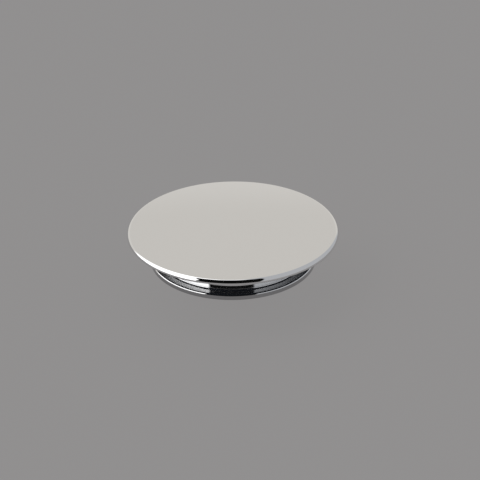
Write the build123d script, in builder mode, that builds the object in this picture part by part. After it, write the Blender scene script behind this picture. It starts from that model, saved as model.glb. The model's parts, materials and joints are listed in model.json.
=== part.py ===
from build123d import *
import math
import os

os.makedirs("parts", exist_ok=True)

# A push-operated drain stopper. A chromed cap and a flanged skirt ride on a push-push
# cartridge that screws onto the centre post of a drain. It is drawn raised, as it stands
# open. Lengths are in millimetres, the foot stands on z = 0 and every turned piece has
# Z for its axis.

# Overall heights and travel
flange_height = 14.8
flange_drop = 15.55
press_travel = 7.0
press_clearance = 0.5

# Fits used all over
running_clearance = 0.10
seat_clearance = 0.05
stop_clearance = 0.20
overrun = 1.0

# Cap: a pressed disc with a rounded rim
cap_diameter = 112.0
cap_sheet = 1.2
cap_dome = 1.2
cap_edge_radius = 2.3
rim_land = 0.3
rim_corner_radius = 0.25

# Skirt: a turned neck with a flange at its foot, which falls outward, and a shelf at its top
neck_diameter = 77.8
skirt_wall = 1.6
flange_diameter = 88.0
flange_thickness = 2.95
flange_fall = 0.1
lip_radius = 0.9
flange_corner_radius = 0.35
neck_fillet = 0.5
shelf_width = 6.0
shelf_thickness = 1.5

# Gasket between cap and skirt
gasket_thickness = 0.8
gasket_inset = 0.5

# Stud brazed under the cap
stud_diameter = 8.0
stud_disc_diameter = 18.0
stud_disc_thickness = 1.0
stud_end_gap = 0.3
stud_chamfer = 0.6

# Carrier: a moulded spider that ties the cap, the skirt and the stem together
hub_diameter = 25.0
hub_thickness = 2.8
carrier_ring_width = 4.4
carrier_ring_depth = 3.4
rib_count = 6
rib_width = 2.4
rib_step_clearance = 1.0
post_count = 4
post_angle = 45.0
post_diameter = 5.6
post_ring_inset = 1.05

# Seal and its retainer, under the flange
seal_thickness = 2.2
seal_edge_thickness = 0.4
seal_edge_inset = 0.9
seal_slope_run = 3.9
seal_lip_height = 1.4
seal_lip_width = 1.9
retainer_thickness = 1.4
retainer_inner_reach = 3.0
retainer_outer_reach = 5.1

# Countersunk screws through the retainer into the posts
screw_diameter = 3.0
screw_head_diameter = 5.2
screw_head_depth = 1.3
screw_length = 8.0
screw_socket_across = 1.8
screw_socket_sides = 6
screw_socket_depth = 0.7

# Clamp washer between hub and stem
clamp_washer_diameter = 17.0
clamp_washer_thickness = 0.8

# Threaded insert moulded into the stem's head
insert_diameter = 11.2
insert_length = 4.5
insert_rib_count = 16
insert_rib_depth = 0.3
insert_rib_angle = 45.0

# Plunger: a hollow stem with guide lugs and saw teeth
stem_diameter = 17.8
stem_wall = 1.2
stem_floor = 1.0
collar_height = 3.0
lug_count = 6
lug_width = 3.2
lug_end_clearance = 0.3
tooth_count = 12
tooth_height = 2.2
tooth_mesh_gap = 0.2
tooth_turn_degrees = 1.0

# Index rotor: a hat that nests inside the plunger
rotor_tube_clearance = 0.2
rotor_wall = 1.0
rotor_ceiling = 1.2
rotor_top_gap = 0.3
rotor_base = 2.0

# Barrel with guide ribs
barrel_wall = 1.2
rib_depth = 1.8
rib_clearance = 0.3
groove_clearance = 0.2
latch_depth = 5.5

# Barrel cap, guide bush and stem wiper
barrel_cap_thickness = 2.4
barrel_cap_skirt = 3.5
barrel_cap_wall = 1.1
bush_wall = 0.6
bush_flange_reach = 1.4
bush_flange_thickness = 0.8
wiper_thickness = 0.9
wiper_lip = 0.5
grip_flat_count = 8
grip_flat_cut = 0.35

# Base plug with the bore for the drain's post
foot_flat_depth = 1.4
foot_flange_thickness = 2.2
plug_cup_height = 4.3
plug_cup_clearance = 0.1
boss_clearance = 0.5
boss_floor = 1.0
post_bore_diameter = 8.5
post_bore_depth = 6.0
barrel_gasket_thickness = 0.8

# Washer under the foot
foot_washer_thickness = 1.0
foot_washer_inset = 1.9
foot_washer_boss_gap = 0.2

# Return spring and its thrust washer
spring_wire_diameter = 0.9
spring_clearance = 0.65
spring_turns = 5.5
spring_end_gap = 0.45
close_quarters = 3
wire_steps = 6
thrust_washer_thickness = 0.5
thrust_washer_clearance = 0.2
thrust_washer_bore = 4.0

# Radii
cap_radius = cap_diameter / 2
neck_radius = neck_diameter / 2
neck_inner_radius = neck_radius - skirt_wall
flange_radius = flange_diameter / 2
stem_radius = stem_diameter / 2
stem_bore_radius = stem_radius - stem_wall
rib_bore_radius = stem_radius + rib_clearance
barrel_bore_radius = rib_bore_radius + rib_depth
barrel_radius = barrel_bore_radius + barrel_wall
cup_inner_radius = barrel_radius + plug_cup_clearance
foot_radius = cup_inner_radius + barrel_cap_wall
bush_bore_radius = stem_radius + running_clearance
bush_radius = bush_bore_radius + bush_wall
seat_radius = bush_bore_radius + bush_flange_reach
lug_root_radius = stem_bore_radius + stem_wall / 2
lug_end_radius = barrel_bore_radius - lug_end_clearance
lug_length = lug_end_radius - lug_root_radius
rotor_radius = stem_bore_radius - rotor_tube_clearance
rotor_bore_radius = rotor_radius - rotor_wall
boss_radius = rotor_bore_radius - boss_clearance
insert_radius = insert_diameter / 2
stud_radius = stud_diameter / 2
stud_hole_radius = stud_radius + seat_clearance
ring_outer_radius = neck_inner_radius - seat_clearance
ring_inner_radius = ring_outer_radius - carrier_ring_width
post_circle_radius = ring_inner_radius - post_ring_inset
screw_radius = screw_diameter / 2 - seat_clearance
spring_radius = rotor_bore_radius - spring_clearance - spring_wire_diameter / 2

# The dome is part of a sphere, which the sheet's underside follows one thickness below.
dome_edge_radius = cap_radius - cap_edge_radius
dome_sphere_radius = (dome_edge_radius**2 + cap_dome**2) / (2 * cap_dome)

# Heights, from the foot up to the cap
lip_z = flange_height + flange_thickness
flange_root_z = lip_z + flange_fall
rim_z = lip_z + flange_drop
cap_top_z = rim_z + cap_dome


def cap_underside(radius):
    """Height of the cap's underside at a distance from its axis."""
    inner_sphere = dome_sphere_radius - cap_sheet
    return cap_top_z - dome_sphere_radius + math.sqrt(inner_sphere**2 - radius**2)


shelf_top_z = cap_underside(neck_radius) - gasket_thickness
shelf_inner_radius = neck_inner_radius - shelf_width
carrier_top_z = shelf_top_z - shelf_thickness
stud_disc_top_z = cap_underside(stud_disc_diameter / 2)
hub_top_z = stud_disc_top_z - stud_disc_thickness
hub_bottom_z = hub_top_z - hub_thickness
stem_top_z = hub_bottom_z - clamp_washer_thickness
insert_bottom_z = stem_top_z - insert_length
stem_ceiling_z = insert_bottom_z - stem_floor
barrel_cap_top_z = hub_bottom_z - press_travel - press_clearance
barrel_top_z = barrel_cap_top_z - barrel_cap_thickness
wiper_seat_z = barrel_cap_top_z - wiper_thickness
bush_seat_z = barrel_top_z + bush_flange_thickness
collar_top_z = barrel_top_z - stop_clearance
tooth_root_z = collar_top_z - collar_height
tooth_tip_z = tooth_root_z - tooth_height
rotor_tooth_top_z = tooth_root_z - tooth_mesh_gap
rotor_tooth_root_z = rotor_tooth_top_z - tooth_height
rotor_bottom_z = rotor_tooth_root_z - rotor_base
rotor_top_z = stem_ceiling_z - rotor_top_gap
rotor_ceiling_z = rotor_top_z - rotor_ceiling
rib_bottom_z = rotor_tooth_top_z - latch_depth
foot_flange_top_z = foot_washer_thickness + foot_flange_thickness
boss_top_z = foot_washer_thickness + post_bore_depth + boss_floor
spring_top_z = rotor_ceiling_z - thrust_washer_thickness
barrel_bottom_z = foot_flange_top_z + barrel_gasket_thickness
seal_bottom_z = flange_height - seal_thickness
retainer_bottom_z = seal_bottom_z - retainer_thickness


def tooth_gap(inner, outer, tip_z, root_z, lean):
    """The gap between two saw teeth: one flank upright, the other slanting.

    The gap opens past tip_z and is deepest at root_z, on the side that lean gives. It
    grows with the radius, so that tooth_count of them close up all the way round.
    """
    open_z = tip_z + math.copysign(overrun, tip_z - root_z)
    with BuildPart() as gap:
        for radius in (inner, outer):
            side = lean * radius * math.tan(math.pi / tooth_count)
            with BuildSketch(Plane(origin=(radius, 0, 0), x_dir=(0, 1, 0), z_dir=(1, 0, 0))):
                Polygon(
                    (-side, open_z),
                    (side, open_z),
                    (side, root_z),
                    (-side, tip_z),
                    align=None,
                )
        loft(ruled=True)
    return gap.part


# Cap
with BuildPart() as cap:
    with BuildSketch(Plane.XZ) as cap_section:
        with BuildLine():
            land_top_z = rim_z - cap_edge_radius
            rim_end_z = land_top_z - rim_land
            rim_inner_radius = cap_radius - cap_sheet
            underside_edge_z = cap_underside(dome_edge_radius)
            dome = TangentArc((0, cap_top_z), (dome_edge_radius, rim_z), tangent=(1, 0))
            TangentArc(dome @ 1, (cap_radius, land_top_z), tangent=dome % 1)
            Line((cap_radius, land_top_z), (cap_radius, rim_end_z))
            Line((cap_radius, rim_end_z), (rim_inner_radius, rim_end_z))
            Line((rim_inner_radius, rim_end_z), (rim_inner_radius, land_top_z))
            TangentArc((rim_inner_radius, land_top_z), (dome_edge_radius, underside_edge_z), tangent=(0, 1))
            TangentArc((0, cap_top_z - cap_sheet), (dome_edge_radius, underside_edge_z), tangent=(1, 0))
            Line((0, cap_top_z - cap_sheet), (0, cap_top_z))
        make_face()
        corners = cap_section.vertices()
        fillet(corners.sort_by_distance((cap_radius, rim_end_z))[0], rim_corner_radius)
        corners = cap_section.vertices()
        fillet(corners.sort_by_distance((rim_inner_radius, rim_end_z))[0], rim_corner_radius)
    revolve(axis=Axis.Z)
cap.part.label = "cap"
export_step(cap.part, "parts/cap.step")

# Stud under the cap
with BuildPart() as cap_stud:
    with BuildSketch(Plane.XY.offset(hub_top_z)):
        Circle(stud_disc_diameter / 2)
    extrude(amount=stud_disc_thickness)
    with BuildSketch(Plane.XY.offset(insert_bottom_z + stud_end_gap)):
        Circle(stud_radius)
    extrude(until=Until.NEXT)
    chamfer(cap_stud.edges().group_by(Axis.Z)[0], stud_chamfer)
cap_stud.part.label = "cap_stud"
export_step(cap_stud.part, "parts/cap_stud.step")

# Gasket between cap and skirt
with BuildPart() as cap_gasket:
    gasket_outer_radius = neck_radius - gasket_inset
    gasket_inner_radius = shelf_inner_radius + gasket_inset
    with BuildSketch(Plane.XZ):
        Polygon(
            (gasket_inner_radius, shelf_top_z),
            (gasket_outer_radius, shelf_top_z),
            (gasket_outer_radius, cap_underside(gasket_outer_radius) - seat_clearance),
            (gasket_inner_radius, cap_underside(gasket_inner_radius) - seat_clearance),
            align=None,
        )
    revolve(axis=Axis.Z)
cap_gasket.part.label = "cap_gasket"
export_step(cap_gasket.part, "parts/cap_gasket.step")

# Skirt: shelf, neck and flange in one turned section
with BuildPart() as skirt:
    with BuildSketch(Plane.XZ) as skirt_section:
        Polygon(
            (shelf_inner_radius, shelf_top_z),
            (neck_radius, shelf_top_z),
            (neck_radius, flange_root_z),
            (flange_radius, lip_z),
            (flange_radius, flange_height),
            (neck_inner_radius, flange_height),
            (neck_inner_radius, carrier_top_z),
            (shelf_inner_radius, carrier_top_z),
            align=None,
        )
        corners = skirt_section.vertices()
        fillet(corners.sort_by_distance((neck_radius, flange_root_z))[0], neck_fillet)
        corners = skirt_section.vertices()
        fillet(corners.sort_by_distance((flange_radius, lip_z))[0], lip_radius)
        corners = skirt_section.vertices()
        fillet(corners.sort_by_distance((flange_radius, flange_height))[0], flange_corner_radius)
    revolve(axis=Axis.Z)
skirt.part.label = "skirt"
export_step(skirt.part, "parts/skirt.step")

# Carrier: hub, ribs, ring and screw posts
with BuildPart() as carrier:
    ring_bottom_z = carrier_top_z - carrier_ring_depth
    rib_step_radius = foot_radius + rib_step_clearance
    with BuildSketch(Plane.XY.offset(ring_bottom_z)):
        Circle(ring_outer_radius)
        Circle(ring_inner_radius, mode=Mode.SUBTRACT)
    extrude(amount=carrier_ring_depth)
    with BuildSketch(Plane.XY.offset(hub_bottom_z)):
        Circle(hub_diameter / 2)
    extrude(amount=hub_thickness)
    inner_rib_length = ring_inner_radius - stud_radius + overrun
    with BuildSketch(Plane.XY.offset(hub_bottom_z)):
        with PolarLocations(stud_radius + inner_rib_length / 2, rib_count):
            Rectangle(inner_rib_length, rib_width)
    extrude(amount=carrier_top_z - hub_bottom_z)
    outer_rib_length = ring_inner_radius - rib_step_radius + overrun
    with BuildSketch(Plane.XY.offset(ring_bottom_z)):
        with PolarLocations(rib_step_radius + outer_rib_length / 2, rib_count):
            Rectangle(outer_rib_length, rib_width)
    extrude(amount=carrier_ring_depth)
    with BuildSketch(Plane.XY.offset(seal_bottom_z)):
        with PolarLocations(post_circle_radius, post_count, start_angle=post_angle):
            Circle(post_diameter / 2)
    extrude(amount=carrier_top_z - seal_bottom_z)
    with Locations((0, 0, hub_top_z)):
        Hole(stud_hole_radius)
    with Locations(Plane.XY.offset(seal_bottom_z)):
        with PolarLocations(post_circle_radius, post_count, start_angle=post_angle):
            Cylinder(
                screw_diameter / 2,
                screw_length,
                align=(Align.CENTER, Align.CENTER, Align.MIN),
                mode=Mode.SUBTRACT,
            )
carrier.part.label = "carrier"
export_step(carrier.part, "parts/carrier.step")

# Main seal: a bevelled rubber ring with a lip that locates it inside the neck
with BuildPart() as main_seal:
    seal_outer_radius = flange_radius - seal_edge_inset
    seal_inner_radius = ring_outer_radius - seal_lip_width
    with BuildSketch(Plane.XZ):
        Polygon(
            (seal_inner_radius, seal_bottom_z),
            (seal_outer_radius - seal_slope_run, seal_bottom_z),
            (seal_outer_radius, flange_height - seal_edge_thickness),
            (seal_outer_radius, flange_height),
            (ring_outer_radius, flange_height),
            (ring_outer_radius, flange_height + seal_lip_height),
            (seal_inner_radius, flange_height + seal_lip_height),
            align=None,
        )
    revolve(axis=Axis.Z)
main_seal.part.label = "main_seal"
export_step(main_seal.part, "parts/main_seal.step")

# Retainer plate that clamps the seal
with BuildPart() as seal_retainer:
    with BuildSketch(Plane.XY.offset(retainer_bottom_z)):
        Circle(post_circle_radius + retainer_outer_reach)
        Circle(post_circle_radius - retainer_inner_reach, mode=Mode.SUBTRACT)
    extrude(amount=retainer_thickness)
    with Locations(Plane(origin=(0, 0, retainer_bottom_z), z_dir=(0, 0, -1))):
        with PolarLocations(post_circle_radius, post_count, start_angle=post_angle):
            CounterSinkHole(
                screw_diameter / 2 + seat_clearance,
                screw_head_diameter / 2 + seat_clearance,
                depth=retainer_thickness,
            )
seal_retainer.part.label = "seal_retainer"
export_step(seal_retainer.part, "parts/seal_retainer.step")

# The four countersunk screws
with BuildPart() as retainer_screws:
    with BuildSketch(Plane.XY.offset(retainer_bottom_z)):
        with PolarLocations(post_circle_radius, post_count, start_angle=post_angle):
            Circle(screw_radius)
    extrude(amount=screw_length)
    with Locations(Plane.XY.offset(retainer_bottom_z)):
        with PolarLocations(post_circle_radius, post_count, start_angle=post_angle):
            Cone(
                screw_head_diameter / 2,
                screw_radius,
                screw_head_depth,
                align=(Align.CENTER, Align.CENTER, Align.MIN),
            )
    with BuildSketch(Plane.XY.offset(retainer_bottom_z)):
        with PolarLocations(post_circle_radius, post_count, start_angle=post_angle):
            RegularPolygon(screw_socket_across / 2, screw_socket_sides, major_radius=False)
    extrude(amount=screw_socket_depth, mode=Mode.SUBTRACT)
retainer_screws.part.label = "retainer_screws"
export_step(retainer_screws.part, "parts/retainer_screws.step")

# Clamp washer
with BuildPart() as clamp_washer:
    with BuildSketch(Plane.XY.offset(stem_top_z)):
        Circle(clamp_washer_diameter / 2)
        Circle(stud_hole_radius, mode=Mode.SUBTRACT)
    extrude(amount=clamp_washer_thickness)
clamp_washer.part.label = "clamp_washer"
export_step(clamp_washer.part, "parts/clamp_washer.step")

# Threaded insert with a ribbed outside
with BuildPart() as threaded_insert:
    with BuildSketch(Plane.XY.offset(insert_bottom_z)):
        Circle(insert_radius)
        with PolarLocations(insert_radius, insert_rib_count):
            Rectangle(
                2 * insert_rib_depth,
                2 * insert_rib_depth,
                rotation=insert_rib_angle,
                mode=Mode.SUBTRACT,
            )
        Circle(stud_hole_radius, mode=Mode.SUBTRACT)
    extrude(amount=insert_length)
threaded_insert.part.label = "threaded_insert"
export_step(threaded_insert.part, "parts/threaded_insert.step")

# Plunger: hollow stem, six guide lugs and saw teeth that point down
plunger_gap = tooth_gap(
    stem_bore_radius - overrun,
    stem_radius + overrun,
    tooth_tip_z,
    tooth_root_z,
    lean=1,
)
with BuildPart() as plunger:
    with BuildSketch(Plane.XY.offset(tooth_tip_z)):
        Circle(stem_radius)
    extrude(amount=stem_top_z - tooth_tip_z)
    with BuildSketch(Plane.XY.offset(tooth_tip_z)):
        Circle(stem_bore_radius)
    extrude(amount=stem_ceiling_z - tooth_tip_z, mode=Mode.SUBTRACT)
    with BuildSketch(Plane.XY.offset(insert_bottom_z)):
        Circle(insert_radius)
    extrude(amount=insert_length, mode=Mode.SUBTRACT)
    with BuildSketch(Plane.XY.offset(tooth_root_z)):
        with PolarLocations(lug_root_radius + lug_length / 2, lug_count):
            Rectangle(lug_length, lug_width)
    extrude(amount=collar_height)
    with PolarLocations(0, tooth_count):
        add(plunger_gap, mode=Mode.SUBTRACT)
plunger.part.label = "plunger"
export_step(plunger.part, "parts/plunger.step")

# Index rotor: tube, ceiling, toothed ring and six lugs with slanted tops
rotor_gap = tooth_gap(
    rotor_radius - overrun,
    lug_end_radius + overrun,
    rotor_tooth_top_z,
    rotor_tooth_root_z,
    lean=-1,
)
with BuildPart() as index_rotor:
    with BuildSketch(Plane.XY.offset(rotor_bottom_z)):
        Circle(stem_radius)
        with PolarLocations(lug_root_radius + lug_length / 2, lug_count):
            Rectangle(lug_length, lug_width)
    extrude(amount=rotor_tooth_top_z - rotor_bottom_z)
    with PolarLocations(0, tooth_count, start_angle=-tooth_turn_degrees):
        add(rotor_gap, mode=Mode.SUBTRACT)
    with BuildSketch(Plane.XY.offset(rotor_bottom_z)):
        Circle(rotor_radius)
    extrude(amount=rotor_top_z - rotor_bottom_z)
    with BuildSketch(Plane.XY.offset(rotor_bottom_z)):
        Circle(rotor_bore_radius)
    extrude(amount=rotor_ceiling_z - rotor_bottom_z, mode=Mode.SUBTRACT)
index_rotor.part.label = "index_rotor"
export_step(index_rotor.part, "parts/index_rotor.step")

# Barrel: a tube with six guide ribs whose lower ends are saw teeth
rib_gap = tooth_gap(
    rib_bore_radius - overrun,
    barrel_bore_radius,
    rib_bottom_z,
    rib_bottom_z + tooth_height,
    lean=1,
)
with BuildPart() as barrel:
    with BuildSketch(Plane.XY.offset(rib_bottom_z)):
        Circle(barrel_bore_radius)
        Circle(rib_bore_radius, mode=Mode.SUBTRACT)
        groove_length = barrel_bore_radius - rib_bore_radius + overrun
        with PolarLocations(barrel_bore_radius - groove_length / 2, lug_count):
            Rectangle(groove_length, lug_width + 2 * groove_clearance, mode=Mode.SUBTRACT)
    extrude(amount=barrel_top_z - rib_bottom_z)
    with PolarLocations(0, tooth_count):
        add(rib_gap, mode=Mode.SUBTRACT)
    with BuildSketch(Plane.XY.offset(barrel_bottom_z)):
        Circle(barrel_radius)
        Circle(barrel_bore_radius, mode=Mode.SUBTRACT)
    extrude(amount=barrel_top_z - barrel_bottom_z)
barrel.part.label = "barrel"
export_step(barrel.part, "parts/barrel.step")

# Barrel cap: screwed over the barrel, with seats for the bush and the wiper
with BuildPart() as barrel_cap:
    with BuildSketch(Plane.XZ):
        Polygon(
            (seat_radius, barrel_top_z),
            (cup_inner_radius, barrel_top_z),
            (cup_inner_radius, barrel_top_z - barrel_cap_skirt),
            (foot_radius, barrel_top_z - barrel_cap_skirt),
            (foot_radius, barrel_cap_top_z),
            (seat_radius, barrel_cap_top_z),
            (seat_radius, wiper_seat_z),
            (bush_radius, wiper_seat_z),
            (bush_radius, bush_seat_z),
            (seat_radius, bush_seat_z),
            align=None,
        )
    revolve(axis=Axis.Z)
    grip_height = barrel_cap_top_z - barrel_top_z + barrel_cap_skirt
    with BuildSketch(Plane.XY.offset(barrel_top_z - barrel_cap_skirt)):
        with PolarLocations(foot_radius, grip_flat_count):
            Rectangle(2 * grip_flat_cut, foot_radius / 2)
    extrude(amount=grip_height, mode=Mode.SUBTRACT)
barrel_cap.part.label = "barrel_cap"
export_step(barrel_cap.part, "parts/barrel_cap.step")

# Guide bush
with BuildPart() as guide_bush:
    with BuildSketch(Plane.XZ):
        Polygon(
            (bush_bore_radius, barrel_top_z),
            (seat_radius - seat_clearance, barrel_top_z),
            (seat_radius - seat_clearance, bush_seat_z),
            (bush_radius - seat_clearance, bush_seat_z),
            (bush_radius - seat_clearance, wiper_seat_z),
            (bush_bore_radius, wiper_seat_z),
            align=None,
        )
    revolve(axis=Axis.Z)
guide_bush.part.label = "guide_bush"
export_step(guide_bush.part, "parts/guide_bush.step")

# Stem wiper
with BuildPart() as stem_wiper:
    with BuildSketch(Plane.XZ):
        Polygon(
            (bush_bore_radius + wiper_lip, wiper_seat_z),
            (seat_radius - seat_clearance, wiper_seat_z),
            (seat_radius - seat_clearance, barrel_cap_top_z),
            (bush_bore_radius, barrel_cap_top_z),
            align=None,
        )
    revolve(axis=Axis.Z)
stem_wiper.part.label = "stem_wiper"
export_step(stem_wiper.part, "parts/stem_wiper.step")

# Thrust washer between the spring and the rotor's ceiling
with BuildPart() as thrust_washer:
    with BuildSketch(Plane.XY.offset(spring_top_z)):
        Circle(rotor_bore_radius - thrust_washer_clearance)
        Circle(thrust_washer_bore / 2, mode=Mode.SUBTRACT)
    extrude(amount=thrust_washer_thickness)
thrust_washer.part.label = "thrust_washer"
export_step(thrust_washer.part, "parts/thrust_washer.step")

# Return spring: one tube wound on arcs of a quarter turn, with a closer turn at each end
spring_low_z = boss_top_z + spring_wire_diameter / 2
spring_high_z = spring_top_z - spring_wire_diameter / 2
quarter_count = round(4 * spring_turns)
close_rise = (spring_wire_diameter + spring_end_gap) / 4
open_quarters = quarter_count - 2 * close_quarters
open_rise = (spring_high_z - spring_low_z - 2 * close_quarters * close_rise) / open_quarters


def spring_point(quarter):
    """Point of the wire's centre line after a number of quarter turns."""
    turn = math.pi * quarter / 2
    quarters_open = min(max(quarter - close_quarters, 0), open_quarters)
    rise = close_rise * (quarter - quarters_open) + open_rise * quarters_open
    return Vector(
        spring_radius * math.cos(turn),
        spring_radius * math.sin(turn),
        spring_low_z + rise,
    )


with BuildPart() as return_spring:
    with BuildLine() as wire:
        start_slope = 2 * close_rise / (math.pi * spring_radius)
        arc = TangentArc(spring_point(0), spring_point(1), tangent=(0, 1, start_slope))
        for quarter in range(2, quarter_count + 1):
            arc = TangentArc(arc @ 1, spring_point(quarter), tangent=arc % 1)
    with BuildSketch(Plane(origin=spring_point(0), z_dir=(0, 1, start_slope))):
        Circle(spring_wire_diameter / 2)
    sweep(path=wire.line)
return_spring.part.label = "return_spring"
export_step(return_spring.part, "parts/return_spring.step")

wire_points = [
    edge.position_at(step / wire_steps)
    for edge in wire.edges()
    for step in range(wire_steps)
]
one_turn_on = 3 * wire_steps
least_gap = min(
    (first - second).length - spring_wire_diameter
    for place, first in enumerate(wire_points)
    for second in wire_points[place + one_turn_on :]
)
print(f"return spring: least gap between turns {least_gap:.2f} mm")

# Base plug: foot flange, cup for the barrel and boss for the drain's post
with BuildPart() as base_plug:
    foot_across_flats = 2 * (foot_radius - foot_flat_depth)
    with BuildSketch(Plane.XY.offset(foot_washer_thickness)):
        Circle(foot_radius)
        Rectangle(2 * foot_radius, foot_across_flats, mode=Mode.INTERSECT)
    extrude(amount=foot_flange_thickness)
    with BuildSketch(Plane.XY.offset(foot_flange_top_z)):
        Circle(foot_radius)
        Circle(cup_inner_radius, mode=Mode.SUBTRACT)
    extrude(amount=plug_cup_height)
    with BuildSketch(Plane.XY.offset(foot_washer_thickness)):
        Circle(boss_radius)
    extrude(amount=boss_top_z - foot_washer_thickness)
    with BuildSketch(Plane.XY.offset(foot_washer_thickness)):
        Circle(post_bore_diameter / 2)
    extrude(amount=post_bore_depth, mode=Mode.SUBTRACT)
base_plug.part.label = "base_plug"
export_step(base_plug.part, "parts/base_plug.step")

# Gasket between barrel and base plug
with BuildPart() as barrel_gasket:
    with BuildSketch(Plane.XY.offset(foot_flange_top_z)):
        Circle(barrel_radius)
        Circle(barrel_bore_radius, mode=Mode.SUBTRACT)
    extrude(amount=barrel_gasket_thickness)
barrel_gasket.part.label = "barrel_gasket"
export_step(barrel_gasket.part, "parts/barrel_gasket.step")

# Washer under the foot
with BuildPart() as foot_washer:
    with BuildSketch(Plane.XY):
        Circle(foot_radius - foot_washer_inset)
        Circle(boss_radius + foot_washer_boss_gap, mode=Mode.SUBTRACT)
    extrude(amount=foot_washer_thickness)
foot_washer.part.label = "foot_washer"
export_step(foot_washer.part, "parts/foot_washer.step")
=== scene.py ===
# %% [markdown]
# # A chromed drain stopper
#
# The model of the stopper is already there as a set of pieces at their real size. This
# lesson dresses it. Polished chrome has no colour of its own: it shows the room that stands
# round it. So the work is in three things: smooth turned surfaces, honest materials, and a
# studio that is worth mirroring.

import json
import math

import bmesh
import bpy
from mathutils import Matrix, Quaternion, Vector


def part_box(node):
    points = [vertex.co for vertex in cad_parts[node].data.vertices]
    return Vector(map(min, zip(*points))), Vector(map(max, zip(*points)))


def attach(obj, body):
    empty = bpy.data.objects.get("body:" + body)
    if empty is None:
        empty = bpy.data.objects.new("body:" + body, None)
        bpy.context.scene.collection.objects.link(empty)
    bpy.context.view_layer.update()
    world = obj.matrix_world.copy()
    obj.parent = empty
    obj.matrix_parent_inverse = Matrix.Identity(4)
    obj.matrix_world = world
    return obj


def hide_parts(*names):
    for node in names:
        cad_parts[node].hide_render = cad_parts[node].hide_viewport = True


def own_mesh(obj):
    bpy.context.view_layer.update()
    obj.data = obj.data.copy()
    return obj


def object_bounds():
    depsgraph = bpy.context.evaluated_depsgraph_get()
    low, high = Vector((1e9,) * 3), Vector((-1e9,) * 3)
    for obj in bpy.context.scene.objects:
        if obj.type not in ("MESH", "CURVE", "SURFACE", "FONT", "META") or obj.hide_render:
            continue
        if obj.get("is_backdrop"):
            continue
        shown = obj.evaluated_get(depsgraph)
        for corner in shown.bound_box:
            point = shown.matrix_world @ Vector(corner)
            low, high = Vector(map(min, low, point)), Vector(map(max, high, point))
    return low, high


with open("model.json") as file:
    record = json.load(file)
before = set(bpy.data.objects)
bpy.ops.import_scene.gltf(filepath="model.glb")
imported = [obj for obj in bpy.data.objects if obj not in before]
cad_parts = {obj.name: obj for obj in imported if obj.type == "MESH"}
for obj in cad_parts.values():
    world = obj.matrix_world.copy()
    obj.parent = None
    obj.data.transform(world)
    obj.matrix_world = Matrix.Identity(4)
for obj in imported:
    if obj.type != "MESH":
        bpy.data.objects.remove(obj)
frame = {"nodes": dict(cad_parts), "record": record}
cad_low, cad_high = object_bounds()
nodes = frame["nodes"]
scene = bpy.context.scene
MM = 0.001
print("pieces:", len(nodes))
print("size in millimetres:", [round(side / MM, 2) for side in cad_high - cad_low])

# %% [markdown]
# ## The camera
#
# The photograph was taken from the front, a little over 28 degrees above the table, with
# a long lens. A long lens is a narrow one: the distance is about eight widths of the cap,
# so that the near edge is hardly larger than the far one. The lens then follows from how
# many pixels the cap's radius takes up. The picture is 480 pixels square. The camera is
# turned by less than a degree about its own line of sight, as the photograph is.

# %% Camera
PICTURE = 480
CAP_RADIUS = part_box("cap")[1].x
CAP_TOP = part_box("cap")[1].z
ELEVATION = math.radians(28.2)
ROLL = math.radians(-0.72)
DISTANCE = 0.9
RADIUS_PIXELS = 106.1
CENTRE_PIXEL = (232.75, 225.6)
SENSOR = 36.0
NEAREST_SEEN = 0.01

camera_data = bpy.data.cameras.new("camera")
camera = bpy.data.objects.new("camera", camera_data)
scene.collection.objects.link(camera)
scene.camera = camera

towards_camera = Vector((0, -math.cos(ELEVATION), math.sin(ELEVATION)))
camera.location = Vector((0, 0, CAP_TOP)) + DISTANCE * towards_camera
camera.rotation_mode = "QUATERNION"
level = (-towards_camera).to_track_quat("-Z", "Y")
camera.rotation_quaternion = level @ Quaternion((0, 0, 1), ROLL)
camera_data.sensor_width = SENSOR
camera_data.lens = RADIUS_PIXELS * DISTANCE / CAP_RADIUS * SENSOR / PICTURE
camera_data.shift_x = (PICTURE / 2 - CENTRE_PIXEL[0]) / PICTURE
camera_data.shift_y = (CENTRE_PIXEL[1] - PICTURE / 2) / PICTURE
camera_data.clip_start = NEAREST_SEEN
print("lens in millimetres:", round(camera_data.lens, 1))

# %% [markdown]
# ## Helpers
#
# Every surface here is a small graph of nodes. Four helpers keep the graphs short: one adds
# a node and sets its inputs, one feeds a socket, one does a sum on numbers or sockets, and
# one lays a colour over another. A fifth turns a finished mesh into an object.

# %% Node helpers


def add_node(tree, kind, **values):
    """Adds a node and sets its inputs by name. Returns the node."""
    node = tree.nodes.new(kind)
    for name, value in values.items():
        node.inputs[name].default_value = value
    return node


def feed(tree, socket, value):
    """Gives a socket its value: a plain number or colour, or another node's output."""
    if isinstance(value, (int, float, tuple)):
        socket.default_value = value
    else:
        tree.links.new(value, socket)


def arithmetic(tree, operation, first, second=None):
    """A math node, fed by sockets or by plain numbers. Returns its output."""
    node = tree.nodes.new("ShaderNodeMath")
    node.operation = operation
    feed(tree, node.inputs[0], first)
    if second is not None:
        feed(tree, node.inputs[1], second)
    return node.outputs[0]


def blend_colours(tree, below, above, mask):
    """Lays one colour over another where the mask is 1. Returns the mixed colour."""
    node = tree.nodes.new("ShaderNodeMix")
    node.data_type = "RGBA"
    feed(tree, node.inputs["Factor"], mask)
    feed(tree, node.inputs[6], below)
    feed(tree, node.inputs[7], above)
    return node.outputs[2]


# %% Object helper
def make_object(name, bm):
    """Turns a finished bmesh into an object in the scene. Returns the object."""
    mesh = bpy.data.meshes.new(name)
    bm.to_mesh(mesh)
    bm.free()
    made = bpy.data.objects.new(name, mesh)
    scene.collection.objects.link(made)
    return made


# %% [markdown]
# ## The floor
#
# A plain sheet of grey paper, so large that its far edge never comes into view. Under a wide
# cap little light gets in, and real paper would go dark there. In the photograph the
# background is one even grey. So where the camera, a mirror or a glass looks at the paper, a
# good part of what it sees is that even grey, and the rest is the paper as it is lit, which
# keeps a soft shadow under the object.

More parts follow.
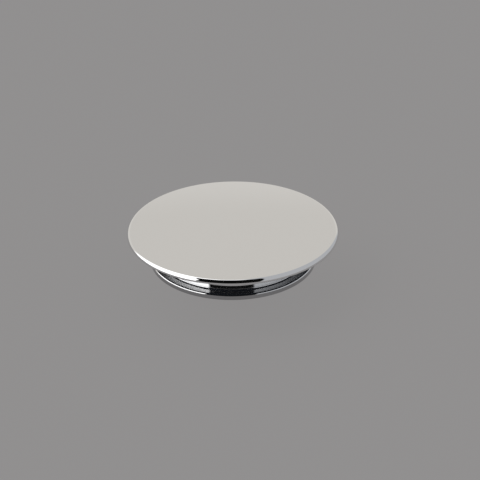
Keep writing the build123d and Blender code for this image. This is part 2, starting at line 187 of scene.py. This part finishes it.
# %% Floor
FLOOR_SIZE = 40.0
PAPER = (0.38, 0.371, 0.371, 1)
EVEN_GREY = (0.290, 0.283, 0.283, 1)
EVEN_SHARE = 0.9

bm = bmesh.new()
bmesh.ops.create_grid(bm, x_segments=1, y_segments=1, size=FLOOR_SIZE / 2)
floor = make_object("floor", bm)
floor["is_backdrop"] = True

paper = bpy.data.materials.new("studio paper")
paper.use_nodes = True
tree = paper.node_tree
tree.nodes.clear()
lit = add_node(tree, "ShaderNodeBsdfDiffuse", Color=PAPER)
even = add_node(tree, "ShaderNodeEmission", Color=EVEN_GREY)
rays = tree.nodes.new("ShaderNodeLightPath")
seen = arithmetic(tree, "MAXIMUM", rays.outputs["Is Camera Ray"], rays.outputs["Is Glossy Ray"])
seen = arithmetic(tree, "MAXIMUM", seen, rays.outputs["Is Transmission Ray"])
mixed = tree.nodes.new("ShaderNodeMixShader")
feed(tree, mixed.inputs["Fac"], arithmetic(tree, "MULTIPLY", seen, EVEN_SHARE))
tree.links.new(lit.outputs[0], mixed.inputs[1])
tree.links.new(even.outputs[0], mixed.inputs[2])
paper_output = tree.nodes.new("ShaderNodeOutputMaterial")
tree.links.new(mixed.outputs[0], paper_output.inputs["Surface"])
floor.data.materials.append(paper)

# %% [markdown]
# ## The studio
#
# The world is painted as the room that the chrome mirrors. It has pale warm walls, which
# are a little lighter low down, a large bright window on the left, a dimmer and cooler one
# on the right, a pale ceiling, and one dark place: the black screen that the camera looks
# through, in front and above. The zones are laid out by compass angle and by height above
# the horizon.
#
# The screen is a flat card that faces the stopper, so its edges are straight lines, as they
# are in the chrome of the neck. Its upper half narrows on the right only, and its foot
# spreads to both sides, most to the left. That gives the black crescent under the cap's
# edge a thin end on the right and a blunter one on the left, as in the photograph.

# %% Directions
world = bpy.data.worlds.new("studio")
scene.world = world
world.use_nodes = True
sky = world.node_tree
sky.nodes.clear()

directions = sky.nodes.new("ShaderNodeTexCoord")
axes = sky.nodes.new("ShaderNodeSeparateXYZ")
sky.links.new(directions.outputs["Generated"], axes.inputs[0])
height = arithmetic(sky, "ARCSINE", axes.outputs["Z"])
ahead = arithmetic(sky, "MULTIPLY", axes.outputs["Y"], -1.0)
compass = arithmetic(sky, "ARCTAN2", axes.outputs["X"], ahead)


# %% Zone helpers
def rise(value, start, end):
    """Goes smoothly from 0 at start to 1 at end, both in degrees."""
    node = sky.nodes.new("ShaderNodeMapRange")
    node.interpolation_type = "SMOOTHSTEP"
    sky.links.new(value, node.inputs["Value"])
    node.inputs["From Min"].default_value = math.radians(start)
    node.inputs["From Max"].default_value = math.radians(end)
    return node.outputs[0]


def zone(value, low, high, low_soft, high_soft):
    """1 between two angles and 0 outside them, with soft edges."""
    upper = rise(value, high - high_soft, high + high_soft)
    return arithmetic(sky, "SUBTRACT", rise(value, low - low_soft, low + low_soft), upper)


def along(vector):
    """How far each direction points along a vector."""
    node = sky.nodes.new("ShaderNodeVectorMath")
    node.operation = "DOT_PRODUCT"
    sky.links.new(directions.outputs["Generated"], node.inputs[0])
    node.inputs[1].default_value = vector
    return node.outputs["Value"]


def within(value, half, soft):
    """1 where a value is less than half from zero, with soft edges."""
    limit = arithmetic(sky, "ADD", half, soft)
    room_left = arithmetic(sky, "SUBTRACT", limit, arithmetic(sky, "ABSOLUTE", value))
    share = arithmetic(sky, "DIVIDE", room_left, 2 * soft)
    return arithmetic(sky, "MINIMUM", arithmetic(sky, "MAXIMUM", share, 0.0), 1.0)


# %% [markdown]
# Places on the screen are shares of its distance, measured from the point that lies
# straight ahead of the stopper. The compass and the height say where that point is.

# %% The black screen
SCREEN_COMPASS = math.radians(-2.2)
SCREEN_HEIGHT = math.radians(36.5)
SCREEN_HALF_WIDTH = 0.57
SCREEN_TAPER = 0.15
SCREEN_SPILL = 0.15
SCREEN_FOOT = -0.84
SCREEN_TOP = 1.05
SCREEN_SOFT = 0.02
NEVER_BEHIND = 0.01

outwards = Vector((math.sin(SCREEN_COMPASS), -math.cos(SCREEN_COMPASS), 0))
sideways = Vector((math.cos(SCREEN_COMPASS), math.sin(SCREEN_COMPASS), 0))
straight_at = math.cos(SCREEN_HEIGHT) * outwards + Vector((0, 0, math.sin(SCREEN_HEIGHT)))
up_the_screen = -math.sin(SCREEN_HEIGHT) * outwards + Vector((0, 0, math.cos(SCREEN_HEIGHT)))

facing = arithmetic(sky, "MAXIMUM", along(straight_at), NEVER_BEHIND)
across = arithmetic(sky, "DIVIDE", along(sideways), facing)
upward = arithmetic(sky, "DIVIDE", along(up_the_screen), facing)
below = arithmetic(sky, "MAXIMUM", arithmetic(sky, "MULTIPLY", upward, -1.0), 0.0)
above = arithmetic(sky, "MAXIMUM", upward, 0.0)
to_left = arithmetic(sky, "MULTIPLY", below, SCREEN_SPILL)
to_left = arithmetic(sky, "ADD", to_left, arithmetic(sky, "MULTIPLY", above, SCREEN_TAPER / 2))
narrowed = arithmetic(sky, "MULTIPLY", upward, SCREEN_TAPER)
half_width = arithmetic(sky, "SUBTRACT", SCREEN_HALF_WIDTH, narrowed)
half_width = arithmetic(sky, "ADD", half_width, to_left)
beside = within(arithmetic(sky, "ADD", across, to_left), half_width, SCREEN_SOFT)
from_middle = arithmetic(sky, "SUBTRACT", upward, (SCREEN_TOP + SCREEN_FOOT) / 2)
between = within(from_middle, (SCREEN_TOP - SCREEN_FOOT) / 2, SCREEN_SOFT)
screen = arithmetic(sky, "MULTIPLY", beside, between)
print("screen reaches, in degrees:", round(math.degrees(SCREEN_HEIGHT + math.atan(SCREEN_TOP))))

# %% [markdown]
# The walls, the windows and the ceiling lie over one another like sheets of paint, and the
# screen lies on top. Each has its colour, the angles that it spans, and how soft its two
# edges are, all in degrees.

# %% The room, zone by zone
WALL = (0.60, 0.58, 0.545, 1)
LOW_WALL = (0.655, 0.635, 0.60, 1)
WINDOW = (1.5, 1.5, 1.5, 1)
FILL = (0.44, 0.45, 0.468, 1)
CEILING = (1.0, 1.0, 1.0, 1)
BLACK = (0.004, 0.004, 0.004, 1)
WALL_FROM, WALL_FULL = 20, 27
CEILING_FROM, CEILING_FULL = 81, 85
WINDOW_SPAN, WINDOW_SOFT = (-119, -33), (7, 1.5)
FILL_SPAN, FILL_SOFT = (28, 145), (1.5, 5)

room = blend_colours(sky, LOW_WALL, WALL, rise(height, WALL_FROM, WALL_FULL))
room = blend_colours(sky, room, WINDOW, zone(compass, *WINDOW_SPAN, *WINDOW_SOFT))
room = blend_colours(sky, room, FILL, zone(compass, *FILL_SPAN, *FILL_SOFT))
room = blend_colours(sky, room, CEILING, rise(height, CEILING_FROM, CEILING_FULL))
room = blend_colours(sky, room, BLACK, screen)

background = sky.nodes.new("ShaderNodeBackground")
sky_output = sky.nodes.new("ShaderNodeOutputWorld")
sky.links.new(room, background.inputs["Color"])
sky.links.new(background.outputs[0], sky_output.inputs["Surface"])

# %% [markdown]
# ## Finishes
#
# Each finish is one material, shared by all the pieces that have it. What makes a surface
# look real is mostly small unevenness: in how rough it is, and in its height. The patterns
# are laid out on Object coordinates, which are metres here, so that a grain keeps its size
# from piece to piece.

# %% Material helpers
NOISE_LOW, NOISE_HIGH = 0.3, 0.7


def new_material(name, colour, metallic, roughness):
    """A material of one even colour. Returns it and its shader."""
    material = bpy.data.materials.new(name)
    material.use_nodes = True
    shader = material.node_tree.nodes["Principled BSDF"]
    shader.inputs["Base Color"].default_value = (*colour, 1)
    shader.inputs["Metallic"].default_value = metallic
    shader.inputs["Roughness"].default_value = roughness
    return material, shader


def object_position(tree):
    """The place on the object, in metres."""
    return tree.nodes.new("ShaderNodeTexCoord").outputs["Object"]


def grain(tree, cell, detail, stretch=(1, 1, 1)):
    """Noise with cells of a given size in metres. Returns values round one half."""
    mapping = tree.nodes.new("ShaderNodeMapping")
    mapping.inputs["Scale"].default_value = stretch
    tree.links.new(object_position(tree), mapping.inputs["Vector"])
    noise = add_node(tree, "ShaderNodeTexNoise", Scale=1 / cell, Detail=detail)
    tree.links.new(mapping.outputs[0], noise.inputs["Vector"])
    return noise.outputs[0]


def spread(tree, value, low, high):
    """Stretches a noise value, which stays near one half, to reach from low to high."""
    node = tree.nodes.new("ShaderNodeMapRange")
    tree.links.new(value, node.inputs["Value"])
    node.inputs["From Min"].default_value = NOISE_LOW
    node.inputs["From Max"].default_value = NOISE_HIGH
    node.inputs["To Min"].default_value = low
    node.inputs["To Max"].default_value = high
    return node.outputs[0]


def uneven_gloss(tree, shader, value, smoothest, roughest):
    """Lets the roughness follow a noise value between two limits."""
    tree.links.new(spread(tree, value, smoothest, roughest), shader.inputs["Roughness"])


def bump(tree, shader, value, depth):
    """Raises the surface by up to a depth in metres where the value is high."""
    node = add_node(tree, "ShaderNodeBump", Strength=1.0, Distance=depth)
    tree.links.new(value, node.inputs["Height"])
    tree.links.new(node.outputs[0], shader.inputs["Normal"])


# %% [markdown]
# ### Chrome
#
# Chrome plating is a mirror with a faint blue cast. A buffed disc is very smooth but not
# perfect: wiping leaves patches that are a trace duller. Those patches go into the
# roughness alone, because bumps would bend the room's straight edges.
#
# The inside of the cap and the rim's lower end get a nearly black, bluish chrome that is
# also rougher. Its colour is painted shade, for the dark gap under the cap that they mirror.
# The flange's edge and underside get a greyer, rougher chrome. Its colour is painted shade,
# for the shaded floor close by that they mirror. The top of the flange is plated over the
# rings that the lathe left, too fine to see one by one. Such rings blur a reflection across
# them and keep it sharp along them, which is what the shader's anisotropy does, with a tangent round the
# axis.

# %% Chrome helper
CHROME_COLOUR = (0.90, 0.90, 0.905)


def plated(name, colour, roughness, patch, detail, smoothest, roughest):
    """Chrome whose gloss wanders in patches of a given size in metres."""
    material, shader = new_material(name, colour, 1.0, roughness)
    tree = material.node_tree
    uneven_gloss(tree, shader, grain(tree, patch, detail), smoothest, roughest)
    return material


# %% Chrome
chrome = plated(
    "chrome plate", CHROME_COLOUR, 0.03, patch=0.018, detail=4.0, smoothest=0.015, roughest=0.045
)
# Painted shade: a nearly black, bluish chrome that stands for the shade under the cap.
shade_painted_chrome = plated(
    "chrome with painted shade", (0.036, 0.042, 0.054), 0.2, patch=0.006, detail=3.0, smoothest=0.16, roughest=0.26
)
# Painted shade: a greyer chrome that shows the flange's edge darker, as the shaded floor near the object
# would in its mirror.
shade_painted_edge_chrome = plated(
    "edge chrome with painted shade", (0.46, 0.46, 0.47), 0.14, patch=0.004, detail=3.0, smoothest=0.10, roughest=0.20
)

# %% Ring-turned chrome
QUARTER_TURN = 0.25

turned_chrome = plated(
    "ring-turned chrome", CHROME_COLOUR, 0.17, patch=0.012, detail=3.0, smoothest=0.15, roughest=0.19
)
tree = turned_chrome.node_tree
shader = tree.nodes["Principled BSDF"]
shader.inputs["Anisotropic"].default_value = 1.0
shader.inputs["Anisotropic Rotation"].default_value = QUARTER_TURN
round_the_axis = tree.nodes.new("ShaderNodeTangent")
round_the_axis.direction_type = "RADIAL"
round_the_axis.axis = "Z"
tree.links.new(round_the_axis.outputs[0], shader.inputs["Tangent"])

# %% [markdown]
# ### Brass and steel
#
# The brass pieces come off a lathe. The tool leaves fine rings, which follow the distance
# from the axis on a flat face and the height on a round one. Both together are one value
# for a noise in one dimension. The steel plate is brushed: its noise is stretched along one
# direction, so that it turns into hairlines.

# %% Brass
RING_WIDTH = 0.00025
RING_DEPTH = 0.000012

brass, shader = new_material("turned brass", (0.80, 0.60, 0.30), 1.0, 0.3)
tree = brass.node_tree
parts = tree.nodes.new("ShaderNodeSeparateXYZ")
tree.links.new(object_position(tree), parts.inputs[0])
flat_place = tree.nodes.new("ShaderNodeCombineXYZ")
tree.links.new(parts.outputs["X"], flat_place.inputs["X"])
tree.links.new(parts.outputs["Y"], flat_place.inputs["Y"])
from_axis = tree.nodes.new("ShaderNodeVectorMath")
from_axis.operation = "LENGTH"
tree.links.new(flat_place.outputs[0], from_axis.inputs[0])
feed_line = arithmetic(tree, "ADD", from_axis.outputs["Value"], parts.outputs["Z"])
rings = tree.nodes.new("ShaderNodeTexNoise")
rings.noise_dimensions = "1D"
rings.inputs["Scale"].default_value = 1 / RING_WIDTH
tree.links.new(feed_line, rings.inputs["W"])
uneven_gloss(tree, shader, rings.outputs[0], smoothest=0.2, roughest=0.42)
bump(tree, shader, rings.outputs[0], RING_DEPTH)

# %% Brushed steel
HAIRLINE_WIDTH = 0.0002
HAIRLINE_DEPTH = 0.000008
BRUSHED_ALONG_X = (0.02, 1, 1)

steel, shader = new_material("brushed steel", (0.62, 0.62, 0.63), 1.0, 0.3)
tree = steel.node_tree
hairlines = grain(tree, HAIRLINE_WIDTH, detail=3.0, stretch=BRUSHED_ALONG_X)
uneven_gloss(tree, shader, hairlines, smoothest=0.2, roughest=0.42)
bump(tree, shader, hairlines, HAIRLINE_DEPTH)

# %% [markdown]
# ### Plastics and rubber
#
# A moulded plastic has the fine even texture of its mould, and a trace of unevenness in its
# gloss where it shrank. Rubber is duller, almost black, and greys a little where it has
# been handled. One recipe with other numbers makes all four.

# %% Moulded finishes
CLOUD = 0.008
TEXTURE_GRAIN = 0.0004
GLOSS_SPREAD = 0.06


def moulded(name, colour, worn_colour, roughness, texture):
    """A plastic or rubber with a mould's texture and a slightly uneven gloss."""
    material, shader = new_material(name, colour, 0.0, roughness)
    tree = material.node_tree
    clouds = grain(tree, CLOUD, detail=3.0)
    tinted = blend_colours(tree, (*colour, 1), (*worn_colour, 1), spread(tree, clouds, 0.0, 1.0))
    tree.links.new(tinted, shader.inputs["Base Color"])
    uneven_gloss(tree, shader, clouds, roughness - GLOSS_SPREAD, roughness + GLOSS_SPREAD)
    bump(tree, shader, grain(tree, TEXTURE_GRAIN, detail=2.0), texture)
    return material


FINISHES = {
    "chrome_plate": chrome,
    "brass": brass,
    "stainless_steel": steel,
    "grey_plastic": moulded("grey plastic", (0.55, 0.56, 0.58), (0.50, 0.51, 0.53), 0.45, 0.00002),
    "black_plastic": moulded("black plastic", (0.035, 0.036, 0.04), (0.05, 0.05, 0.054), 0.38, 0.00002),
    "white_plastic": moulded("white plastic", (0.82, 0.82, 0.80), (0.78, 0.78, 0.75), 0.35, 0.000015),
    "black_rubber": moulded("black rubber", (0.022, 0.022, 0.024), (0.04, 0.04, 0.042), 0.62, 0.00004),
}

# %% [markdown]
# ## Finishes for the ready pieces
#
# The record that comes with the model says which finish each piece has. Going through it
# leaves no piece without one.

# %% Put each finish on its pieces
finish_of = {row["node"]: row["material_slot"] for row in frame["record"]["subparts"]}
for name, node in nodes.items():
    node.data.materials.clear()
    node.data.materials.append(FINISHES[finish_of[name]])
print("pieces with a finish:", len(finish_of))

# %% [markdown]
# ## Turned pieces
#
# The cap, the skirt and the seal are turned round one axis, so each is drawn as a half
# section and spun. The model's own pieces have flat facets, which a mirror shows as steps.
# A spin of 256 steps has none that the eye can find.
#
# A section's corners are rounded by a small arc. Smooth shading also bends the light across
# the flat faces beside an arc, because each point's direction is an average of its
# neighbours'. A second point close beside each end of the arc keeps that bend within a
# strip too narrow to see. Without it the flat neck mirrors as if it were a barrel.

# %% Section helpers
STEPS = 256
ARC_STEPS = 10
GUARD = 0.02


def arc(centre, radius, start, end, count):
    """Points on an arc, from one angle to another in degrees."""
    turns = [math.radians(start + (end - start) * step / count) for step in range(count + 1)]
    return [(centre[0] + radius * math.cos(t), centre[1] + radius * math.sin(t)) for t in turns]


def rounded(corners):
    """A section from (radius, height, rounding) corners, with an arc at each."""
    section = []
    for place, (x, z, rounding) in enumerate(corners):
        corner = Vector((x, z))
        before = Vector(corners[place - 1][:2])
        after = Vector(corners[(place + 1) % len(corners)][:2])
        back = (before - corner).normalized()
        on = (after - corner).normalized()
        half = back.angle(on) / 2
        reach = rounding / math.tan(half)
        centre = corner + (back + on).normalized() * rounding / math.sin(half)
        first = corner + back * reach - centre
        last = corner + on * reach - centre
        start = math.degrees(math.atan2(first.y, first.x))
        sweep = math.degrees(math.atan2(last.y, last.x)) - start
        sweep = (sweep + 180) % 360 - 180
        section.append(tuple(corner + back * (reach + GUARD)))
        section += arc(centre, rounding, start, start + sweep, ARC_STEPS)
        section.append(tuple(corner + on * (reach + GUARD)))
    return section


# %% Spin helpers
SAME_POINT = 1e-7


def turned(name, section, closed, steps=STEPS):
    """Spins a section of (radius, height) points, in millimetres, into a smooth piece."""
    bm = bmesh.new()
    points = [bm.verts.new((radius * MM, 0, z * MM)) for radius, z in section]
    pairs = list(zip(points, points[1:]))
    if closed:
        pairs.append((points[-1], points[0]))
    edges = [bm.edges.new(pair) for pair in pairs]
    bmesh.ops.spin(
        bm,
        geom=points + edges,
        cent=(0, 0, 0),
        axis=(0, 0, 1),
        angle=2 * math.pi,
        steps=steps,
        use_merge=True,
    )
    bmesh.ops.remove_doubles(bm, verts=bm.verts, dist=SAME_POINT)
    bmesh.ops.recalc_face_normals(bm, faces=bm.faces)
    piece = make_object(name, bm)
    piece.data.shade_smooth()
    print(name, "faces:", len(piece.data.polygons))
    return piece


def dress(piece, body, node, slot):
    """Lets a new piece stand for a model's piece: same body, same finish."""
    piece.data.materials.append(FINISHES[slot])
    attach(piece, body)
    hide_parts(node)


def axis_distance(face):
    """How far a face's middle lies from the axis, in millimetres."""
    return math.hypot(face.center.x, face.center.y) / MM


# %% [markdown]
# ## The cap
#
# A disc of sheet metal, pressed into a very low dome and turned down at the rim. The dome
# is part of a sphere of more than a metre, so it mirrors the back wall as one even tone.
# The rounded edge squeezes the whole room, from the ceiling to the floor, into a band a
# little over two millimetres wide: that is the bright line, the black crescent and the grey
# line of the photograph. Below it stands a short upright land with a broken corner.

# %% Cap's sizes
dome = 1.2
sheet = 1.2
edge_radius = 2.3
rim_corner = 0.25
cap_radius = CAP_RADIUS / MM
cap_top = CAP_TOP / MM
rim_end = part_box("cap")[0].z / MM
land_top = cap_top - dome - edge_radius
inner_wall = cap_radius - sheet
edge_centre = cap_radius - edge_radius
sphere = (edge_centre**2 + dome**2) / (2 * dome)
dome_tilt = math.degrees(math.asin(edge_centre / sphere))
print("dome's radius in millimetres:", round(sphere))

# %% Cap's section
DOME_STEPS = 48
EDGE_STEPS = 40
INNER_EDGE_STEPS = 12
CORNER_STEPS = 6


def dome_height(radius, below):
    """Height of the dome, or of a sphere some way below it, at a distance from the axis."""
    return cap_top - sphere + math.sqrt((sphere - below) ** 2 - radius**2)


dome_radii = [edge_centre * step / DOME_STEPS for step in range(DOME_STEPS)]
guarded_radii = dome_radii + [edge_centre - GUARD, edge_centre]
corner_height = rim_end + rim_corner

section = [(radius, dome_height(radius, 0)) for radius in guarded_radii]
section += arc((edge_centre, land_top), edge_radius, 90 - dome_tilt, 0, EDGE_STEPS)[1:]
section.append((cap_radius, corner_height + GUARD))
section += arc((cap_radius - rim_corner, corner_height), rim_corner, 0, -90, CORNER_STEPS)
section += arc((inner_wall + rim_corner, corner_height), rim_corner, -90, -180, CORNER_STEPS)
section.append((inner_wall, land_top))
section += arc((edge_centre, land_top), edge_radius - sheet, 0, 90 - dome_tilt, INNER_EDGE_STEPS)[1:]
section += [(radius, dome_height(radius, sheet)) for radius in reversed(dome_radii)]

# %% [markdown]
# Inside the rim, every face that doesn't look up gets the painted shade, and so does the
# rim's lower end. How far a face looks up is the upright part of its normal: 1 is straight up.

# %% Cap
LOOKS_UP = 0.1
LOOKS_DOWN = -0.3
PAINTED_SHADE_SLOT = 1

bright_cap = turned("bright_cap", section, closed=False)
dress(bright_cap, "head", "cap", "chrome_plate")
# Second slot: the painted shade under the cap and on the rim's lower end.
bright_cap.data.materials.append(shade_painted_chrome)
painted_shade_faces = 0
for face in bright_cap.data.polygons:
    under = axis_distance(face) < inner_wall and face.normal.z < LOOKS_UP
    if under or face.normal.z < LOOKS_DOWN:
        face.material_index = PAINTED_SHADE_SLOT
        painted_shade_faces += 1
print("faces with painted shade:", painted_shade_faces)

# %% [markdown]
# ## The skirt
#
# One turned piece: a shelf that the cap rests on, the upright neck, and the flange that
# closes the drain. The upright neck and the level flange meet at a right angle and mirror
# each other, which is why the black screen shows twice, above and below the crease. The
# flange's level faces get the ring-turned finish. Its edge and underside get the greyer chrome
# of painted shade.

# %% Skirt's sizes
neck = 38.9
neck_inside = 37.3
shelf_inside = 31.3
flange_thickness = 2.95
flange_fall = 0.1
crease = 0.8
lip = 0.9
lower_corner = 0.35
broken_corner = 0.1
shelf_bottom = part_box("carrier")[1].z / MM
shelf_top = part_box("skirt")[1].z / MM
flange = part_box("skirt")[1].x / MM
flange_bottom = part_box("skirt")[0].z / MM
flange_top = flange_bottom + flange_thickness

# %% Skirt
LEVEL = 0.9
STEEP = 0.3
TURNED_SLOT = 1
EDGE_SHADE_SLOT = 2

skirt_section = rounded([
    (shelf_inside, shelf_top, broken_corner),
    (neck, shelf_top, broken_corner),
    (neck, flange_top + flange_fall, crease),
    (flange, flange_top, lip),
    (flange, flange_bottom, lower_corner),
    (neck_inside, flange_bottom, broken_corner),
    (neck_inside, shelf_bottom, broken_corner),
    (shelf_inside, shelf_bottom, broken_corner),
])
bright_skirt = turned("bright_skirt", skirt_section, closed=True)
dress(bright_skirt, "head", "skirt", "chrome_plate")
bright_skirt.data.materials.append(turned_chrome)
bright_skirt.data.materials.append(shade_painted_edge_chrome)
# Level faces get the ring-turned chrome. The edge and underside get the painted shade.
for face in bright_skirt.data.polygons:
    if neck + crease / 2 < axis_distance(face) < flange - lip and face.normal.z > LEVEL:
        face.material_index = TURNED_SLOT
    elif axis_distance(face) > neck and face.normal.z < STEEP:
        face.material_index = EDGE_SHADE_SLOT

# %% [markdown]
# ## The seal
#
# A moulded rubber ring. Its outer edge is thin and slopes, so that it centres itself in the
# drain and then presses on the seat. A mould leaves soft corners, so each is rounded.

# %% Seal
seal_inside = 35.35
seal_slope = 3.9
seal_edge = 0.4
neck_gap = 0.05
soft_corner = 0.3
slope_corner = 0.5
edge_corner = 0.18
tight_corner = 0.05
seal_low, seal_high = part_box("main_seal")
seal_outer = seal_high.x / MM
seal_bottom = seal_low.z / MM
seal_top = seal_high.z / MM
seal_neck = neck_inside - neck_gap
seal_section = rounded([
    (seal_inside, seal_bottom, soft_corner),
    (seal_outer - seal_slope, seal_bottom, slope_corner),
    (seal_outer, flange_bottom - seal_edge, edge_corner),
    (seal_outer, flange_bottom, broken_corner),
    (seal_neck, flange_bottom, tight_corner),
    (seal_neck, seal_top, soft_corner),
    (seal_inside, seal_top, soft_corner),
])
rubber_seal = turned("rubber_seal", seal_section, closed=True)
dress(rubber_seal, "head", "main_seal", "black_rubber")

# %% [markdown]
# ## The spring
#
# A spring is one wire, wound. Here a small circle stands upright beside the axis and is
# spun round it while it climbs: first a close part of a turn, then the open turns, then a
# close part again, as on a real spring whose ends lie flat.

# %% Spring's sizes
SPRING_TURNS = 5.5
CLOSE_TURNS = 0.75
STEPS_PER_TURN = 32
WIRE_SIDES = 12
WIRE_END_ANGLE = math.radians(50)
wire_radius = 0.45
close_pitch = 1.35
spring_low, spring_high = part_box("return_spring")
spring_length = spring_high.z - spring_low.z
coil_radius = spring_high.x / MM - wire_radius
first_height = spring_low.z / MM + wire_radius
climb = spring_length / MM - 2 * wire_radius
open_turns = SPRING_TURNS - 2 * CLOSE_TURNS
open_pitch = (climb - 2 * CLOSE_TURNS * close_pitch) / open_turns
windings = [(CLOSE_TURNS, close_pitch), (open_turns, open_pitch), (CLOSE_TURNS, close_pitch)]

# %% Spring
bm = bmesh.new()
upright = Matrix.Rotation(math.radians(90), 4, "X")
beside_axis = Matrix.Translation((coil_radius * MM, 0, first_height * MM))
start_circle = beside_axis @ upright
bmesh.ops.create_circle(bm, segments=WIRE_SIDES, radius=wire_radius * MM, matrix=start_circle)
wire_end = list(bm.verts) + list(bm.edges)
for turns, pitch in windings:
    wound = bmesh.ops.spin(
        bm,
        geom=wire_end,
        cent=(0, 0, 0),
        axis=(0, 0, 1),
        dvec=(0, 0, pitch * MM / STEPS_PER_TURN),
        angle=turns * 2 * math.pi,
        steps=round(turns * STEPS_PER_TURN),
    )
    wire_end = wound["geom_last"]
bmesh.ops.remove_doubles(bm, verts=bm.verts, dist=SAME_POINT)
bmesh.ops.holes_fill(bm, edges=[edge for edge in bm.edges if edge.is_boundary], sides=0)
bmesh.ops.recalc_face_normals(bm, faces=bm.faces)
wound_spring = make_object("wound_spring", bm)
wound_spring.data.shade_smooth()
wound_spring.data.set_sharp_from_angle(angle=WIRE_END_ANGLE)
dress(wound_spring, "cartridge", "return_spring", "stainless_steel")

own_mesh(wound_spring)

# %% [markdown]
# ## Rings and washers
#
# Two rubber rings and two steel washers are plain rings. Each takes its height and outer
# width from the model's piece, and only its hole and its rounding are given, in
# millimetres. Punched steel has hardly any rounding, a rubber ring a good deal, and that
# difference tells them apart before any colour does.

# %% Ring helper
RING_STEPS = 96
body_of_node = {
    node: body for body, names in frame["record"]["behaviour"]["bodies"].items() for node in names
}


def ring(name, node, hole, rounding):
    """A flat ring in the place of one of the model's pieces, with rounded edges."""
    low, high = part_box(node)
    outer, bottom, top = high.x / MM, low.z / MM, high.z / MM
    section = rounded([
        (hole, bottom, rounding),
        (outer, bottom, rounding),
        (outer, top, rounding),
        (hole, top, rounding),
    ])
    piece = turned(name, section, closed=True, steps=RING_STEPS)
    dress(piece, body_of_node[node], node, finish_of[node])


# %% Rings
ring("soft_barrel_gasket", "barrel_gasket", hole=11.0, rounding=0.2)
ring("soft_foot_washer", "foot_washer", hole=6.2, rounding=0.25)
ring("punched_clamp_washer", "clamp_washer", hole=4.05, rounding=0.08)
ring("punched_thrust_washer", "thrust_washer", hole=2.0, rounding=0.08)

# %% [markdown]
# ## Moulded and machined pieces
#
# The other pieces have ribs, teeth, flats and holes. Their shape in the model is right, and
# only their edges are too sharp: no mould and no lathe leaves an edge that catches no light.
# Each is copied, its loose triangles are joined and its flat faces made whole, and then all
# the sharp edges are bevelled at once. The width is in millimetres. It is widest on large
# moulded pieces and on the foot, and narrowest on the insert's and the screws' fine edges.

# %% Easing helper
SHARP = math.radians(35)
FLAT = math.radians(1)
MODEL_SAME_POINT = 1e-6
BEVEL_STEPS = 3
ROUND_PROFILE = 0.5
MOST_CORNERS = 4


def eased(name, node, width):
    """A copy of one of the model's pieces with its sharp edges rounded off."""
    bm = bmesh.new()
    bm.from_mesh(nodes[node].data)
    bmesh.ops.remove_doubles(bm, verts=bm.verts, dist=MODEL_SAME_POINT)
    bmesh.ops.dissolve_limit(bm, angle_limit=FLAT, verts=bm.verts, edges=bm.edges, delimit=set())
    sharp_edges = [
        edge for edge in bm.edges if len(edge.link_faces) == 2 and edge.calc_face_angle() > SHARP
    ]
    bmesh.ops.bevel(
        bm,
        geom=sharp_edges,
        offset=width * MM,
        offset_type="OFFSET",
        segments=BEVEL_STEPS,
        profile=ROUND_PROFILE,
        affect="EDGES",
        material=-1,
        clamp_overlap=True,
    )
    large_faces = [face for face in bm.faces if len(face.verts) > MOST_CORNERS]
    bmesh.ops.triangulate(bm, faces=large_faces)
    piece = make_object(name, bm)
    piece.data.shade_smooth()
    piece.data.set_sharp_from_angle(angle=SHARP)
    dress(piece, body_of_node[node], node, finish_of[node])
    print(name, "faces:", len(piece.data.polygons), "edges eased:", len(sharp_edges))


# %% Plastic and rubber pieces
eased("moulded_carrier", "carrier", width=0.2)
eased("moulded_plunger", "plunger", width=0.12)
eased("moulded_rotor", "index_rotor", width=0.12)
eased("moulded_barrel", "barrel", width=0.12)
eased("moulded_barrel_cap", "barrel_cap", width=0.15)
eased("moulded_bush", "guide_bush", width=0.08)
eased("soft_wiper", "stem_wiper", width=0.08)
eased("soft_cap_gasket", "cap_gasket", width=0.15)

# %% Metal pieces
eased("brass_foot", "base_plug", width=0.2)
eased("brass_insert", "threaded_insert", width=0.05)
eased("brass_stud", "cap_stud", width=0.1)
eased("steel_retainer", "seal_retainer", width=0.12)
eased("steel_screws", "retainer_screws", width=0.06)

# %% [markdown]
# ## Sizes
#
# The dressed stopper must be as large as the model and no larger. The model's size is printed
# at the start, and here how much the dressed box has grown beyond it.

# %% Sizes and finish
scene.view_settings.view_transform = "Standard"
low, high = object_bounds()
grown = (high - low) - (cad_high - cad_low)
print("grown by, in millimetres:", [round(side / MM, 3) for side in grown])
